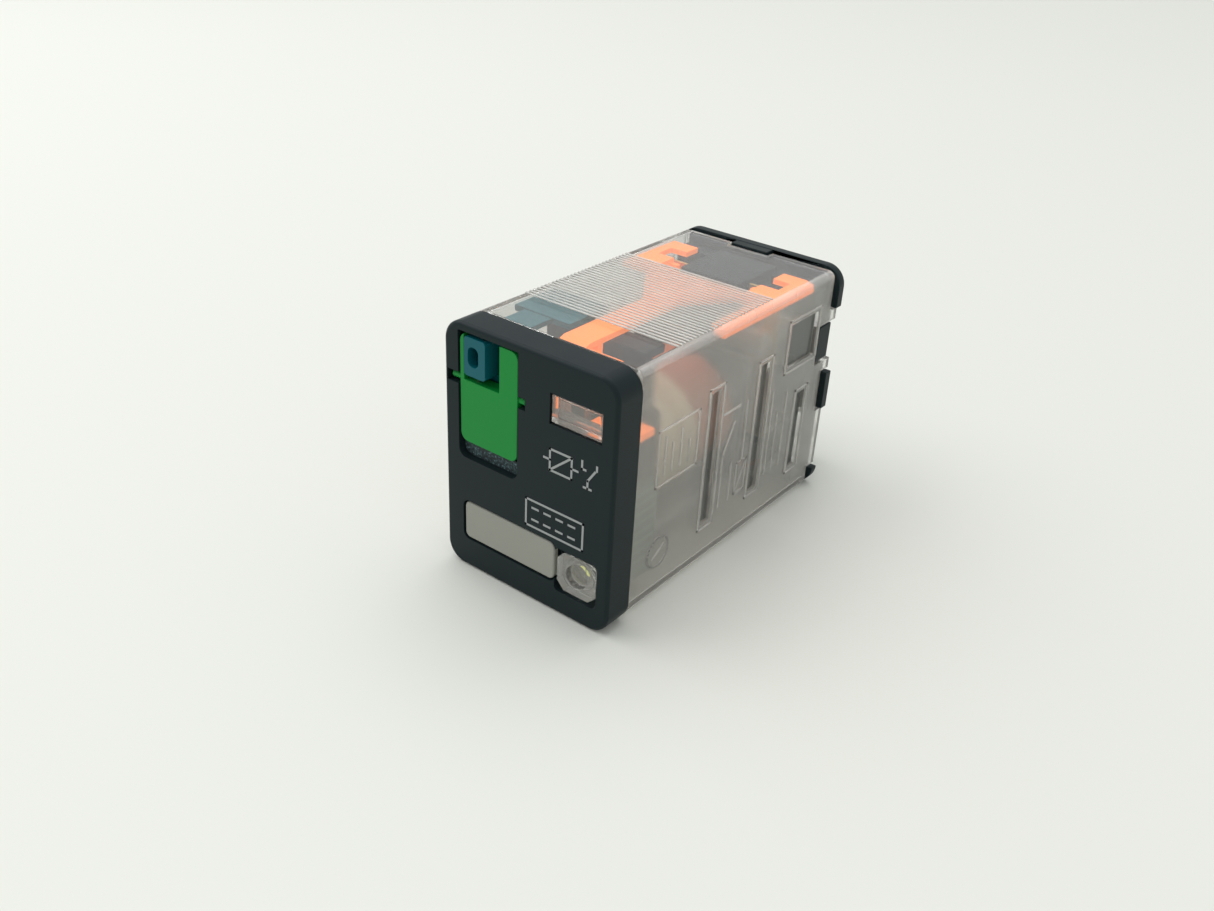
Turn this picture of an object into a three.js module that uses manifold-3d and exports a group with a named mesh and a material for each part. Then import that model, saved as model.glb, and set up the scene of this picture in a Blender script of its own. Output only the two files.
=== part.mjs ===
// Plug-in industrial control relay, two changeover contacts, lying on its bottom edge.
// Millimetres, +Z up, front face toward -Y. Depths are measured back from the front face.
import * as THREE from "three";
import { mergeVertices } from "three/addons/utils/BufferGeometryUtils.js";
import Module from "manifold-3d";

const wasm = await Module();
wasm.setup();

// ---- Driving dimensions ----
const bodyWidth = 21;
const bodyHeight = 27;
const bodyDepth = 40;
const bladeLength = 6;
const gap = 0.3;
const seat = 0.05;
const lap = 0.5;

const bezelDepth = 3.45;
const bezelWall = 0.8;
const bezelFace = 1.8;
const cornerRadius = 2.2;
const frontBevel = 0.5;

const coverSideInset = 0.5;
const coverTopInset = 0.25;
const coverWall = 0.8;
const coverEdge = 0.6;
const coverFace = 0.8;
const flangeDepth = 1.1;

const doorWidth = 7.3;
const doorHeight = 11.4;
const doorThickness = 1.6;
const doorHingeDrop = 5.8;
const hingePinRadius = 0.35;

const buttonWidth = 2.7;
const buttonHeight = 3.95;
const buttonTravel = 1.5;

const windowWidth = 6.1;
const windowHeight = 3.1;
const legendHeight = 4.2;
const lampLensWidth = 4.8;
const lampLensHeight = 4.4;

const coilRadius = 6.6;
const coilLength = 15;
const coreRadius = 3.2;
const steel = 1.2;
const leafThickness = 0.3;
const leafWidth = 3.4;
const contactRadius = 1.3;
const rivetRadius = 0.5;
const bladeWidth = 4.6;
const bladeThickness = 0.8;

// ---- Places worked out from them ----
const totalDepth = bodyDepth + bladeLength;
const halfWidth = bodyWidth / 2;
const left = -halfWidth;
const top = bodyHeight;

const doorLeft = left + 2;
const doorRight = doorLeft + doorWidth;
const doorTop = top - 1;
const doorBottom = doorTop - doorHeight;
const doorFront = 0.15;
const doorBack = doorFront + doorThickness;
const hingeHeight = top - doorHingeDrop;
const hingeDepth = 0.65;
const notchLeft = doorLeft + 0.5;
const notchRight = doorRight - 2.3;

const buttonLeft = notchLeft + 0.15;
const webReach = 1;
const webLap = 1.45;
const webRight = buttonLeft + buttonWidth + webReach;
const buttonTop = top - 1.2;
const buttonBottom = buttonTop - buttonHeight;
const coverTop = top - coverTopInset;
const ceiling = coverTop - coverWall;
const slideTop = ceiling - 0.25;
const slideBottom = slideTop - 0.6;

const windowRight = halfWidth - 1.6;
const windowTop = top - 3.45;
const legendLeft = left + 2.5;
const legendBottom = 3.54;
const lampLensRight = halfWidth - 1.6;
const lampLensBottom = 2.9;
const legendWidth = lampLensRight - lampLensWidth - 0.35 - legendLeft;
const lampX = lampLensRight - lampLensWidth / 2;
const lampZ = lampLensBottom + lampLensHeight / 2;

const flangeFront = bodyDepth - flangeDepth;
const coverFront = bezelFace + gap;
const coverShoulder = bezelDepth + gap;
const coverRear = flangeFront - gap;
const blockFront = flangeFront - 3;

const armatureFront = 5.9;
const armatureRear = armatureFront + steel;
const poleFront = armatureRear + 1.4;
const poleRear = poleFront + 1;
const bobbinFront = poleRear + gap;
const bobbinFlange = 1;
const windingFront = bobbinFront + bobbinFlange;
const windingRear = windingFront + coilLength;
const bobbinRear = windingRear + bobbinFlange;
const yokeRearFront = bobbinRear + gap;
const yokeRearBack = yokeRearFront + steel;
const coilZ = coilRadius + 5.9;
const bobbinRim = 0.5;
const flangeHalf = coilRadius + bobbinRim;
const yokeTop = coilZ - flangeHalf - gap;
const yokeBottom = yokeTop - steel;
const armatureHalf = coilRadius - 1;
const armatureTop = slideBottom - 0.7;

const flagLeft = windowRight - windowWidth + 0.7;
const flagRight = windowRight - 0.6;
const flagPivotDepth = 4.5;
const flagPivotZ = windowTop - windowHeight - 1.8;
const flagLength = poleFront - gap - flagPivotDepth;
const armatureShoulder = flagPivotZ - 1.1;
const armatureNeckRight = flagLeft - 1;
const armatureNeckLeft = webRight - webLap;

const leafDepth = yokeRearBack + 2.6;
const pusherFront = leafDepth - leafThickness / 2 - gap - 0.7;
const barDepth = 1.9;
const barFront = pusherFront - 4.35;
const barBack = barFront + barDepth;
const leafX = halfWidth - 4.8;
const commonRow = 9;
const leafBottom = commonRow - 0.4;
const leafPivotZ = commonRow + 1.2;
const leafTop = slideBottom + 0.2;
const contactZ = top - 6.6;
const contactLean = buttonTravel * (contactZ - leafPivotZ) / (leafTop - leafPivotZ);
const ncRow = top - 5.7;
const noRow = top - 10.5;
const coilRow = 4;
const bladeInner = halfWidth - 7.9;
const bladeTip = totalDepth;

// ---- Shapes and booleans ----
function roundedRect(x0, y0, x1, y1, radius) {
  const shape = new THREE.Shape();
  shape.moveTo(x0 + radius, y0);
  shape.lineTo(x1 - radius, y0);
  shape.absarc(x1 - radius, y0 + radius, radius, -Math.PI / 2, 0);
  shape.lineTo(x1, y1 - radius);
  shape.absarc(x1 - radius, y1 - radius, radius, 0, Math.PI / 2);
  shape.lineTo(x0 + radius, y1);
  shape.absarc(x0 + radius, y1 - radius, radius, Math.PI / 2, Math.PI);
  shape.lineTo(x0, y0 + radius);
  shape.absarc(x0 + radius, y0 + radius, radius, Math.PI, 1.5 * Math.PI);
  return shape;
}

function polygon(points) {
  return new THREE.Shape(points.map(([x, y]) => new THREE.Vector2(x, y)));
}

function solid(geometry) {
  const bare = geometry.clone();
  bare.deleteAttribute("normal");
  bare.deleteAttribute("uv");
  const merged = mergeVertices(bare, 1e-5);
  return new wasm.Manifold(new wasm.Mesh({
    numProp: 3,
    vertProperties: new Float32Array(merged.attributes.position.array),
    triVerts: new Uint32Array(merged.index.array),
  }));
}

function geometryOf(body) {
  const mesh = body.getMesh();
  const geometry = new THREE.BufferGeometry();
  geometry.setAttribute("position", new THREE.BufferAttribute(mesh.vertProperties, 3));
  geometry.setIndex(new THREE.BufferAttribute(mesh.triVerts, 1));
  const flat = geometry.toNonIndexed();
  flat.computeVertexNormals();
  return flat;
}

function join(first, ...others) {
  return others.reduce((sum, other) => sum.add(other), first);
}

function cut(first, ...tools) {
  return tools.reduce((rest, tool) => rest.subtract(tool), first);
}

// An outline drawn across (X, Z), extruded back from one depth to another.
function alongDepth(shape, front, back, curveSegments = 4) {
  const geometry = new THREE.ExtrudeGeometry(shape, {
    depth: back - front, bevelEnabled: false, curveSegments,
  });
  geometry.rotateX(Math.PI / 2);
  geometry.translate(0, back, 0);
  return solid(geometry);
}

// An outline drawn across (depth, Z), extruded along X.
function acrossWidth(shape, x0, x1, curveSegments = 4) {
  const geometry = new THREE.ExtrudeGeometry(shape, {
    depth: x1 - x0, bevelEnabled: false, curveSegments,
  });
  const turn = new THREE.Matrix4().makeBasis(
    new THREE.Vector3(0, 1, 0), new THREE.Vector3(0, 0, 1), new THREE.Vector3(1, 0, 0),
  );
  geometry.applyMatrix4(turn);
  geometry.translate(x0, 0, 0);
  return solid(geometry);
}

// An outline drawn across (X, depth), extruded upward.
function upward(shape, z0, z1, curveSegments = 4) {
  const geometry = new THREE.ExtrudeGeometry(shape, {
    depth: z1 - z0, bevelEnabled: false, curveSegments,
  });
  geometry.translate(0, 0, z0);
  return solid(geometry);
}

function block([x0, x1], [front, back], [z0, z1]) {
  const geometry = new THREE.BoxGeometry(x1 - x0, back - front, z1 - z0);
  geometry.translate((x0 + x1) / 2, (front + back) / 2, (z0 + z1) / 2);
  return solid(geometry);
}

function rod(radius, x, z, front, back, segments = 24) {
  const geometry = new THREE.CylinderGeometry(radius, radius, back - front, segments);
  geometry.translate(x, (front + back) / 2, z);
  return solid(geometry);
}

function pin(radius, depth, z, x0, x1, segments = 16) {
  const geometry = new THREE.CylinderGeometry(radius, radius, x1 - x0, segments);
  geometry.rotateZ(Math.PI / 2);
  geometry.translate((x0 + x1) / 2, depth, z);
  return solid(geometry);
}

// The same span on the left (side = -1) or the right (side = 1).
function span(side, inner, outer) {
  return side > 0 ? [inner, outer] : [-outer, -inner];
}

function inset(sides, ends, radius) {
  return roundedRect(left + sides, ends, halfWidth - sides, top - ends, radius);
}

// ---- Materials ----
function material(color, roughness, metalness = 0, opacity = 1) {
  return new THREE.MeshStandardMaterial({
    color, roughness, metalness, opacity, transparent: opacity < 1, flatShading: true,
  });
}

const slatePlastic = material(0x333a3e, 0.45);
const greenPlastic = material(0x26823c, 0.35);
const tealPlastic = material(0x146e8c, 0.35);
const greyPlastic = material(0x8c8f87, 0.5);
const orangePlastic = material(0xff823c, 0.4);
const blackPlastic = material(0x1c1f21, 0.5);
const clearPlastic = material(0xdfe1dc, 0.15, 0, 0.35);
const lensPlastic = material(0xf0f0f0, 0.08, 0, 0.4);
const copperWire = material(0xb5653a, 0.35, 0.8);
const creamTape = material(0xd8cfae, 0.7);
const dullSteel = material(0x6f7376, 0.4, 0.9);
const springBrass = material(0xc9a227, 0.35, 0.9);
const tinnedBrass = material(0xb9bcc0, 0.3, 0.9);
const silverAlloy = material(0xd5d6d8, 0.25, 0.95);
const greenBoard = material(0x1f4a36, 0.6);
const lampEpoxy = material(0xe9ecd9, 0.1, 0, 0.6);
const tanCeramic = material(0xc8a878, 0.6);

// ---- Housing ----
function frontBezel() {
  const cavitySide = bezelWall;
  const shellShape = inset(frontBevel, frontBevel, cornerRadius - frontBevel);
  const shell = new THREE.ExtrudeGeometry(shellShape, {
    depth: bezelDepth, bevelEnabled: true, bevelThickness: frontBevel,
    bevelSize: frontBevel, bevelSegments: 2, curveSegments: 5,
  });
  shell.rotateX(Math.PI / 2);
  shell.translate(0, bezelDepth + frontBevel, 0);
  const slotHalf = hingePinRadius + 0.25;
  const slotBack = hingeDepth + hingePinRadius + gap;
  return cut(
    solid(shell),
    block([left - 1, halfWidth + 1], [bezelDepth, bezelDepth + 3], [-1, top + 1]),
    alongDepth(inset(cavitySide, cavitySide, cornerRadius - cavitySide), bezelFace, bezelDepth + 1),
    alongDepth(
      roundedRect(doorLeft - 0.17, doorBottom - 0.4, doorRight + 0.17, top - bezelWall, 0.2), -1, bezelFace + 1,
    ),
    alongDepth(
      roundedRect(doorLeft - 0.17, doorBottom - 1.8, doorRight + 0.17, doorBottom + 2, 0.9), -1, 0.9,
    ),
    block(
      [doorLeft - 1.6, doorRight + 1.05], [-1, slotBack], [hingeHeight - slotHalf, hingeHeight + slotHalf],
    ),
    block(
      [windowRight - windowWidth, windowRight], [-1, bezelFace + 1], [windowTop - windowHeight, windowTop],
    ),
    alongDepth(
      roundedRect(
        legendLeft - 0.2, legendBottom - 0.2, legendLeft + legendWidth + 0.2, legendBottom + legendHeight + 0.2,
        0.8,
      ), -1, 1,
    ),
    alongDepth(
      roundedRect(
        lampLensRight - lampLensWidth - 0.2, lampLensBottom - 0.25, lampLensRight + 0.2,
        lampLensBottom + lampLensHeight + 0.25, 0.5,
      ), -1, bezelFace + 1,
    ),
  );
}

// Fine cross ribs on the top of the cover, where the fingers grip it.
const ribPitch = 0.6;
const ribCount = 28;
const ribHeight = 0.12;
const ribStart = 10.3;

function gripRibs() {
  const profile = [];
  const floor = coverTop - ribHeight;
  profile.push([ribStart, floor - 0.1]);
  profile.push([ribStart, floor]);
  for (let i = 0; i < ribCount; i += 1) {
    const front = ribStart + i * ribPitch;
    profile.push([front + ribPitch / 2, coverTop]);
    profile.push([front + ribPitch, floor]);
  }
  profile.push([ribStart + ribCount * ribPitch, floor - 0.1]);
  profile.reverse();
  return acrossWidth(polygon(profile), left + 1.2, halfWidth - 1.2);
}

// Moulded grooves and the latch opening in the side walls: [front, back, bottom, top].
const sideGrooves = [
  [15.9, 17.5, 5.1, 20.2],
  [24.9, 26.6, 5.1, 20.2],
  [33.4, 35, 4.6, 14],
  [30.3, 35.8, 18, 23],
];
const grooveDepth = 0.35;
const latchFront = bodyDepth - 3.1;
const latchBottom = top - 10.5;
const latchTop = top - 6.4;
const tabCentre = -0.6;
const tabHalf = 2.35;
const tabFront = bodyDepth - 2.3;

// Heights where the cover's side walls run on through the base flange: [bottom, top].
const sideTabs = [[2.3, 10.2], [14.7, top - 4.5]];

function clearCover() {
  const outer = new THREE.ExtrudeGeometry(
    inset(coverSideInset + coverEdge / 2, coverTopInset + coverEdge / 2, coverEdge), {
      depth: coverRear - coverShoulder - coverEdge, bevelEnabled: true, bevelThickness: coverEdge / 2,
      bevelSize: coverEdge / 2, bevelSegments: 1, curveSegments: 3,
    },
  );
  outer.rotateX(Math.PI / 2);
  outer.translate(0, coverRear - coverEdge / 2, 0);
  const neckInset = bezelWall + gap;
  const neckWall = 0.6;
  const neck = alongDepth(inset(neckInset, neckInset, 1), coverFront, coverShoulder + 1);
  const ribBed = block(
    [left + 1.2, halfWidth - 1.2], [ribStart, ribStart + ribCount * ribPitch],
    [coverTop - ribHeight, coverTop + 1],
  );
  let shell = join(cut(join(solid(outer), neck), ribBed), gripRibs());
  const wallSide = coverSideInset + coverWall;
  const wallTop = coverTopInset + coverWall;
  shell = cut(
    shell,
    alongDepth(inset(wallSide, wallTop, 0.3), coverShoulder + 0.9, bodyDepth),
    alongDepth(inset(neckInset + neckWall, neckInset + 0.9, 0.3), coverFront + coverFace, coverShoulder + 1),
    block([doorLeft - 0.6, doorRight + 0.5], [1, coverShoulder + 1], [hingeHeight - 1.5, top - 1.1]),
    block([doorLeft - 0.6, doorRight + 0.5], [1, coverShoulder - 0.02], [hingeHeight - 1.5, top + 1]),
    block(
      [windowRight - windowWidth + 0.4, windowRight - 0.4], [1, coverShoulder],
      [windowTop - windowHeight + 0.3, windowTop - 0.3],
    ),
    rod(1.9, lampX, lampZ, 1, coverShoulder),
    block(
      [tabCentre - tabHalf - gap, tabCentre + tabHalf + gap], [tabFront - gap, bodyDepth], [ceiling - 1, top],
    ),
  );
  for (const side of [-1, 1]) {
    const outerFace = halfWidth - coverSideInset;
    for (const [front, back, bottom, high] of sideGrooves) {
      shell = cut(
        shell, block(span(side, outerFace - grooveDepth, outerFace + 1), [front, back], [bottom, high]),
      );
    }
    for (const [bottom, high] of sideTabs) {
      const tab = block(
        span(side, outerFace - coverWall, outerFace), [coverRear - 1, bodyDepth], [bottom + gap, high - gap],
      );
      shell = join(shell, tab);
    }
    shell = cut(shell, block(
      span(side, halfWidth - wallSide - 1, halfWidth + 1), [latchFront - gap, bodyDepth + 1],
      [latchBottom - gap, latchTop + gap],
    ));
  }
  return shell;
}

function bladeSlots(row) {
  const clear = 0.2;
  return [-1, 1].map((side) => block(
    span(side, bladeInner - clear, bladeInner + bladeWidth + clear), [blockFront - 1, bodyDepth + 1],
    [row - bladeThickness / 2 - clear, row + bladeThickness / 2 + clear],
  ));
}

const tower = {
  halfWidth: leafX - leafWidth / 2 - gap,
  front: barBack + buttonTravel + gap,
  back: blockFront + 1,
  bottom: top - 4.3,
  top: slideTop - 0.15,
};

function base() {
  const wallSide = coverSideInset + coverWall + gap;
  const wallTop = coverTopInset + coverWall + gap;
  const flange = alongDepth(inset(0, 0, cornerRadius), flangeFront, bodyDepth, 5);
  const plug = block(
    [left + wallSide, halfWidth - wallSide], [blockFront, flangeFront + lap], [wallTop, slideBottom - 0.3],
  );
  const rib = block([left + wallSide, halfWidth - wallSide], [flangeFront - 0.8, flangeFront + lap],
    [wallTop, ceiling - gap]);
  const towerBlock = block(
    [-tower.halfWidth, tower.halfWidth], [tower.front, tower.back], [tower.bottom, tower.top],
  );
  const tab = block(
    [tabCentre - tabHalf, tabCentre + tabHalf], [tabFront, flangeFront + lap], [ceiling - 0.6, top - 0.05],
  );
  const cuts = [];
  for (const side of [-1, 1]) {
    const sideCut = span(side, halfWidth - wallSide, halfWidth + 1);
    for (const heights of sideTabs) {
      cuts.push(block(sideCut, [flangeFront - 1, bodyDepth + 1], heights));
    }
  }
  cuts.push(block([left + 3.5, halfWidth - 3.5], [flangeFront - 1, bodyDepth + 1], [-1, coverTopInset]));
  let body = cut(join(flange, plug, rib, towerBlock, tab), ...cuts);
  for (const side of [-1, 1]) {
    body = join(body, block(
      span(side, halfWidth - wallSide - lap, halfWidth - coverSideInset - 0.1), [latchFront, flangeFront + lap],
      [latchBottom, latchTop],
    ));
  }
  return cut(
    body, ...bladeSlots(ncRow), ...bladeSlots(noRow), ...bladeSlots(commonRow), ...bladeSlots(coilRow),
  );
}

// ---- Front controls ----
function lockDoor() {
  const panel = alongDepth(roundedRect(doorLeft, doorBottom, doorRight, doorTop, 0.9), doorFront, doorBack);
  const notch = block([notchLeft, notchRight], [-1, doorBack + 1], [hingeHeight, top]);
  return join(
    cut(panel, notch),
    pin(hingePinRadius, hingeDepth, hingeHeight, doorLeft - 1.2, doorLeft + 0.3),
    pin(hingePinRadius, hingeDepth, hingeHeight, doorRight - lap, doorRight + 0.75),
  );
}

function testButton() {
  const buttonRight = buttonLeft + buttonWidth;
  const blockBack = 3.1;
  const webLeft = buttonLeft + 0.3;
  const plateFront = 8.2;
  const head = alongDepth(roundedRect(buttonLeft, buttonBottom, buttonRight, buttonTop, 0.35), 0, blockBack);
  // The flange fills the notch behind the door, and its ends stay clear of the door's arms as they swing in.
  const sideClear = 0.15;
  const flangeFace = doorBack + 0.35;
  const flange = block(
    [notchLeft + sideClear, notchRight - sideClear], [flangeFace, flangeFace + 0.7], [hingeHeight - 0.9, buttonTop],
  );
  const eyeLeft = buttonLeft + 0.185 * buttonWidth;
  const eyeWidth = 0.5 * buttonWidth;
  const eye = alongDepth(
    roundedRect(eyeLeft, buttonBottom + 1, eyeLeft + eyeWidth, buttonTop - 0.9, 0.44 * eyeWidth), -1, 1.6, 6,
  );
  return join(
    cut(join(head, flange), eye),
    block(
      [webLeft, buttonRight - 0.1], [blockBack - 0.1, armatureFront - gap], [buttonTop - 1.6, slideTop - 0.1],
    ),
    block([webLeft, webRight], [armatureFront - 1, plateFront + 0.2], [slideBottom, slideTop - 0.1]),
    block(
      [webLeft, webRight], [armatureFront - 0.9, armatureFront - gap], [armatureTop - 1.6, slideTop - 0.1],
    ),
    block([left + 1.6, -1.9], [plateFront, plateFront + 6], [slideBottom, slideTop]),
  );
}

function legendPlate() {
  return alongDepth(
    roundedRect(legendLeft, legendBottom, legendLeft + legendWidth, legendBottom + legendHeight, 0.6), 0.1, 0.85,
  );
}

function indicatorWindow() {
  const clear = 0.15;
  const pane = block(
    [windowRight - windowWidth + clear, windowRight - clear], [0.15, bezelFace + 0.1],
    [windowTop - windowHeight + clear, windowTop - clear],
  );
  const hollow = block(
    [windowRight - windowWidth + 0.6, windowRight - 0.6], [0.9, bezelFace + 1],
    [windowTop - windowHeight + 0.6, windowTop - 0.6],
  );
  return cut(pane, hollow);
}

function ledLens() {
  const x0 = lampLensRight - lampLensWidth;
  const z1 = lampLensBottom + lampLensHeight;
  const corner = 0.9;
  const outline = polygon([
    [x0 + corner, lampLensBottom], [lampLensRight - corner, lampLensBottom],
    [lampLensRight, lampLensBottom + corner], [lampLensRight, z1 - corner],
    [lampLensRight - corner, z1], [x0 + corner, z1], [x0, z1 - corner], [x0, lampLensBottom + corner],
  ]);
  return cut(
    alongDepth(outline, 0.2, bezelFace + 0.1),
    rod(1.25, lampX, lampZ, -1, 0.9, 20),
    rod(1.7, lampX, lampZ, 1.3, 3, 20),
  );
}

// ---- Lamp circuit ----
const boardX = halfWidth - coverSideInset - coverWall - 1.5;
const board = { front: 5, back: 9.2, bottom: 2.8, top: 13.4, thickness: 0.8 };

function ledLamp() {
  const body = rod(1.2, lampX, lampZ, 2.1, 3.9, 16);
  const rim = rod(1.45, lampX, lampZ, 3.8, 4.4, 16);
  const legs = [-0.6, 0.6].map((dz) => join(
    block([lampX - 0.2, lampX + 0.2], [4.3, 5.6], [lampZ + dz - 0.2, lampZ + dz + 0.2]),
    block([lampX - 0.2, boardX - seat], [5.2, 5.6], [lampZ + dz - 0.2, lampZ + dz + 0.2]),
  ));
  return join(body, rim, ...legs);
}

function ledBoard() {
  return block([boardX, boardX + board.thickness], [board.front, board.back], [board.bottom, board.top]);
}

function boardPart(radius, z0, z1) {
  const geometry = new THREE.CylinderGeometry(radius, radius, z1 - z0, 12);
  geometry.rotateX(Math.PI / 2);
  geometry.translate(boardX - radius - seat, (board.front + board.back) / 2 + 1, (z0 + z1) / 2);
  return solid(geometry);
}

// ---- Magnet ----
function squareRing(front, back, radius) {
  const plate = alongDepth(
    roundedRect(-flangeHalf, coilZ - flangeHalf, flangeHalf, coilZ + flangeHalf, 0.8), front, back,
  );
  return cut(plate, rod(radius, 0, coilZ, front - 1, back + 1));
}

function coilBobbin() {
  const bore = coreRadius + gap;
  const ledgeTop = slideBottom - 0.4;
  const post = block(
    [-flangeHalf + 1, flangeHalf - 1], [bobbinFront, windingFront], [coilZ + flangeHalf - 1, ledgeTop],
  );
  const ledge = block(
    [-flangeHalf + 1, flangeHalf - 1], [bobbinFront, bobbinFront + 3], [ledgeTop - 0.8, ledgeTop],
  );
  const barrel = cut(
    rod(bore + 0.8, 0, coilZ, bobbinFront, bobbinRear), rod(bore, 0, coilZ, bobbinFront - 1, bobbinRear + 1),
  );
  return join(squareRing(bobbinFront, windingFront, bore), squareRing(windingRear, bobbinRear, bore), barrel,
    post, ledge);
}

function coilSleeve(inner, outer, front, back) {
  return cut(rod(outer, 0, coilZ, front, back, 32), rod(inner, 0, coilZ, front - 1, back + 1, 32));
}

const tapeThickness = 0.3;
const windingInner = coreRadius + gap + 0.8 + seat;
const windingOuter = coilRadius - tapeThickness - seat;

function core() {
  return join(
    rod(coreRadius, 0, coilZ, poleFront, yokeRearFront - seat),
    rod(coreRadius + 1, 0, coilZ, poleFront, poleRear),
    rod(coreRadius - 1.2, 0, coilZ, yokeRearFront - 1, yokeRearBack),
  );
}

function yoke() {
  const outline = polygon([
    [armatureRear + 0.6, yokeBottom], [yokeRearBack, yokeBottom], [yokeRearBack, coilZ + 5.6],
    [yokeRearFront, coilZ + 5.6], [yokeRearFront, yokeTop], [armatureRear + 0.6, yokeTop],
  ]);
  const plate = acrossWidth(outline, -armatureHalf, armatureHalf);
  return cut(plate, rod(coreRadius - 1.2 + seat, 0, coilZ, yokeRearFront - 1, yokeRearBack + 1));
}

function armature() {
  const outline = polygon([
    [-armatureHalf, yokeBottom], [armatureHalf, yokeBottom], [armatureHalf, armatureShoulder],
    [armatureNeckRight, armatureShoulder], [armatureNeckRight, armatureTop], [armatureNeckLeft, armatureTop],
    [armatureNeckLeft, armatureShoulder], [-armatureHalf, armatureShoulder],
  ]);
  return alongDepth(outline, armatureFront, armatureRear);
}

function armatureSpring() {
  const front = armatureFront - seat - leafThickness;
  const foot = yokeBottom - 0.8;
  return join(
    block([-2, 2], [front, armatureFront - seat], [foot, yokeBottom + 5]),
    block([-2, 2], [front, armatureRear + 2.4], [foot - leafThickness, foot]),
  );
}

// ---- Contacts ----
const hookInner = leafX - 0.1;
const hookOuter = halfWidth - 1.6;
const hookBack = leafDepth + 4.2;

function cardHook(side, railFront) {
  const railInner = leafX + leafWidth / 2 + gap;
  return join(
    block(span(side, railInner, hookOuter), [railFront, hookBack], [slideBottom, slideTop]),
    block(span(side, hookInner, hookOuter), [hookBack - 2.2, hookBack], [slideBottom, slideTop]),
    block(span(side, hookInner, hookOuter), [barFront, pusherFront + 0.7], [slideBottom, slideTop]),
    block(
      span(side, leafX - 1, leafX + 1.2), [pusherFront, pusherFront + 0.7], [slideBottom - 0.7, slideBottom + 0.1],
    ),
  );
}

function contactCard() {
  const armLeft = -0.9;
  const armRight = armatureNeckRight - 0.2;
  const lugFront = armatureRear + gap;
  const arm = upward(polygon([
    [armLeft, lugFront], [armRight, lugFront], [armRight, barFront - 5], [hookInner + 0.1, barFront],
    [hookInner + 0.1, barBack], [-hookInner - 0.1, barBack], [-hookInner - 0.1, barFront],
    [armLeft, barFront - 7],
  ]), slideBottom, slideTop);
  const strap = acrossWidth(polygon([
    [armatureFront - 0.8, slideBottom - 0.1], [armatureFront, slideBottom - 0.1], [armatureFront + 0.7, slideBottom],
    [lugFront + 0.2, slideBottom], [lugFront + 0.2, slideTop], [armatureFront + 0.3, slideTop],
    [armatureFront - 0.8, slideTop - 0.35],
  ]), armLeft, armRight);
  return join(
    arm, strap,
    block([armLeft, armRight], [lugFront, lugFront + 0.7], [armatureTop - 1.8, slideBottom + 0.1]),
    block(
      [armLeft, halfWidth - 4.1], [armatureFront - 0.8, armatureFront], [slideBottom - 0.1, slideTop - 0.35],
    ),
    cardHook(-1, barFront), cardHook(1, 18),
  );
}

function movingLeaf(side) {
  const blade = block(
    span(side, leafX - leafWidth / 2, leafX + leafWidth / 2),
    [leafDepth - leafThickness / 2, leafDepth + leafThickness / 2], [leafBottom, leafTop],
  );
  return cut(blade, rod(0.8, side * leafX, contactZ, leafDepth - 1, leafDepth + 1, 12));
}

function movingContact(side) {
  const x = side * leafX;
  const face = leafDepth + leafThickness / 2 + seat;
  const back = leafDepth - leafThickness / 2 - seat;
  return join(
    rod(contactRadius, x, contactZ, face, face + 0.7, 20), rod(contactRadius, x, contactZ, back - 0.7, back, 20),
    rod(rivetRadius, x, contactZ, back - 0.2, face + 0.2, 12),
  );
}

const movingFaceFront = leafDepth - leafThickness / 2 - seat - 0.7;
const movingFaceBack = leafDepth + leafThickness / 2 + seat + 0.7;
const ncFace = movingFaceFront - gap;
const noFace = movingFaceBack + contactLean + 0.45;
const contactHeight = 0.7;
const plateThickness = 0.6;
const ncPlateBack = ncFace - contactHeight - seat;
const noPlateFront = noFace + contactHeight + seat;

function bladeTail(side, row, front) {
  const x0 = bladeInner;
  const x1 = bladeInner + bladeWidth;
  const taper = 0.8;
  const outline = [
    [x0, front], [x1, front], [x1, bladeTip - 1.2], [x1 - taper, bladeTip], [x0 + taper, bladeTip],
    [x0, bladeTip - 1.2],
  ].map(([x, depth]) => [side * x, depth]);
  if (side < 0) {
    outline.reverse();
  }
  return upward(polygon(outline), row - bladeThickness / 2, row + bladeThickness / 2);
}

function ncTerminal(side) {
  const armZ = [contactZ - 1.1, ncRow + bladeThickness / 2];
  const tailFront = noPlateFront + plateThickness + 0.45;
  return join(
    bladeTail(side, ncRow, tailFront),
    block(
      span(side, bladeInner - 0.7, bladeInner + 0.1), [ncPlateBack - plateThickness, tailFront + 0.4], armZ,
    ),
    block(span(side, bladeInner - 0.7, leafX + 1.5), [ncPlateBack - plateThickness, ncPlateBack], armZ),
  );
}

function noTerminal(side) {
  const x = span(side, bladeInner + 0.6, bladeInner + bladeWidth);
  return join(
    bladeTail(side, noRow, noPlateFront),
    block(x, [noPlateFront, noPlateFront + plateThickness], [noRow - bladeThickness / 2, contactZ + 1.5]),
  );
}

function commonTerminal(side) {
  const tabDepth = leafDepth + leafThickness / 2 + seat;
  return join(
    bladeTail(side, commonRow, tabDepth),
    block(span(side, leafX - 1.5, leafX + 1.5), [tabDepth, tabDepth + plateThickness], [
      leafBottom, leafPivotZ,
    ]),
  );
}

function coilTerminal(side) {
  return bladeTail(side, coilRow, yokeRearBack + 2);
}

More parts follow.
